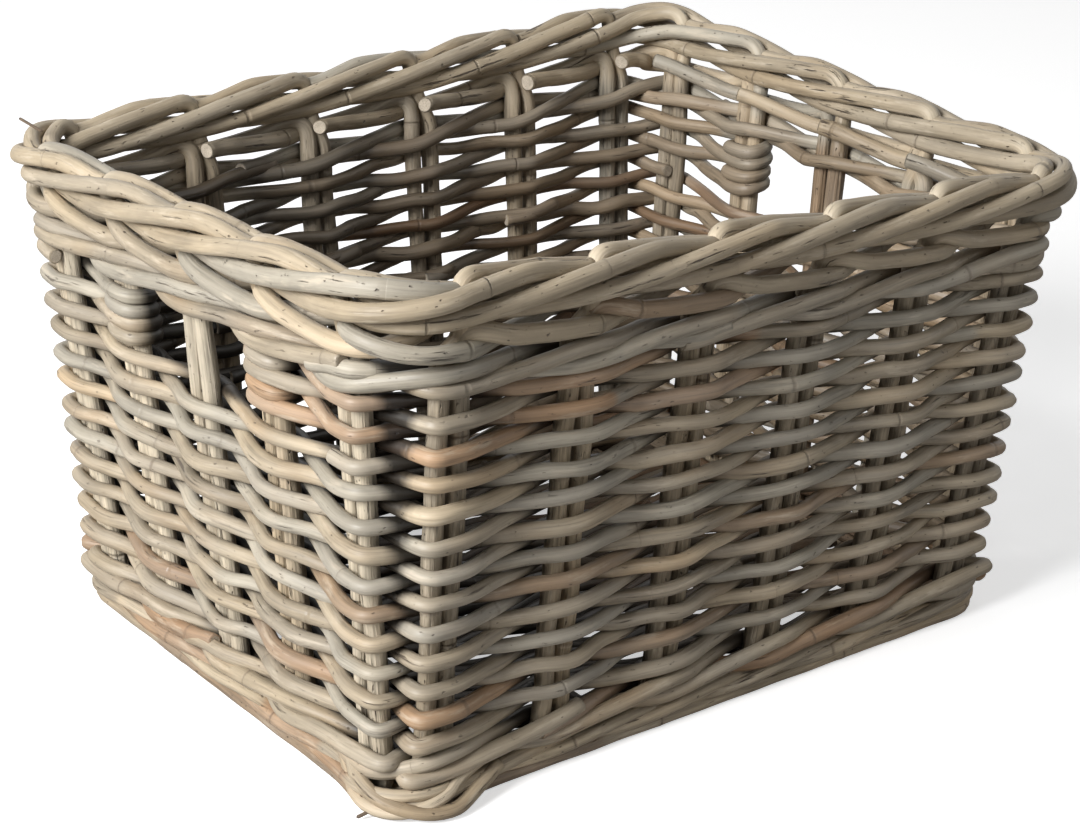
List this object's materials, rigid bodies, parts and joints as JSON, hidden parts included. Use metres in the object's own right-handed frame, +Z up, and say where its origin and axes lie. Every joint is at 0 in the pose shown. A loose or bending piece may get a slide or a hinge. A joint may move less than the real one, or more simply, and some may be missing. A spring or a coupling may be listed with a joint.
{
  "type": "toy storage basket",
  "caption": "Open-topped rectangular basket of woven rattan with a rolled rope border, hand holes in both short ends, a foot ring and a woven base.",
  "frame": {"origin": "middle of the foot, on the floor", "axes": "+X along the long sides, +Y across them, +Z up out of the open top"},
  "size_m": [0.4152, 0.3392, 0.253],
  "materials": {
    "stake_cane": "weathered grey-brown rattan, dry and matt, fine lengthwise fibres",
    "grey_cane": "grey weathered rattan, matt, with cracks and darker fibres",
    "straw_cane": "pale straw rattan with a dull sheen and thin dark node rings",
    "red_brown_cane": "warm orange-brown rattan, matt",
    "foot_cane": "dark worn rattan, matt"
  },
  "bodies": {
    "root": {"stake_pair_01": "stake_cane", "stake_pair_02": "stake_cane", "stake_pair_03": "stake_cane", "stake_pair_04": "stake_cane", "stake_pair_05": "stake_cane", "stake_pair_06": "stake_cane", "stake_pair_07": "stake_cane", "stake_pair_08": "stake_cane", "stake_pair_09": "stake_cane", "stake_pair_10": "stake_cane", "stake_pair_11": "stake_cane", "stake_pair_12": "stake_cane", "stake_pair_13": "stake_cane", "stake_pair_14": "stake_cane", "stake_pair_15": "stake_cane", "stake_pair_16": "stake_cane", "stake_pair_17": "stake_cane", "stake_pair_18": "stake_cane", "stake_pair_19": "stake_cane", "stake_pair_20": "stake_cane", "stake_pair_21": "stake_cane", "stake_pair_22": "stake_cane", "weaver_row_01": "grey_cane", "weaver_row_02": "grey_cane", "weaver_row_03": "straw_cane", "weaver_row_04": "grey_cane", "weaver_row_05": "straw_cane", "weaver_row_06": "grey_cane", "weaver_row_07": "red_brown_cane", "weaver_row_08": "grey_cane", "weaver_row_09": "grey_cane", "weaver_row_10": "straw_cane", "weaver_row_11": "grey_cane", "weaver_row_12": "straw_cane", "weaver_row_13": "grey_cane", "weaver_row_14": "red_brown_cane", "weaver_row_15": "grey_cane", "weaver_row_16": "grey_cane", "weaver_row_17": "straw_cane", "weaver_row_18": "grey_cane", "weaver_row_19": "straw_cane", "back_wall_weaver": "straw_cane", "front_wall_weaver": "straw_cane", "lower_wale_1": "straw_cane", "lower_wale_2": "grey_cane", "upper_wale_1": "straw_cane", "upper_wale_2": "grey_cane", "foot_ring_outer": "foot_cane", "foot_ring_inner": "foot_cane", "base_stick_1": "stake_cane", "base_stick_2": "stake_cane", "base_stick_3": "stake_cane", "base_stick_4": "stake_cane", "base_stick_5": "stake_cane", "base_weave": "grey_cane"}
  },
  "joints": []
}
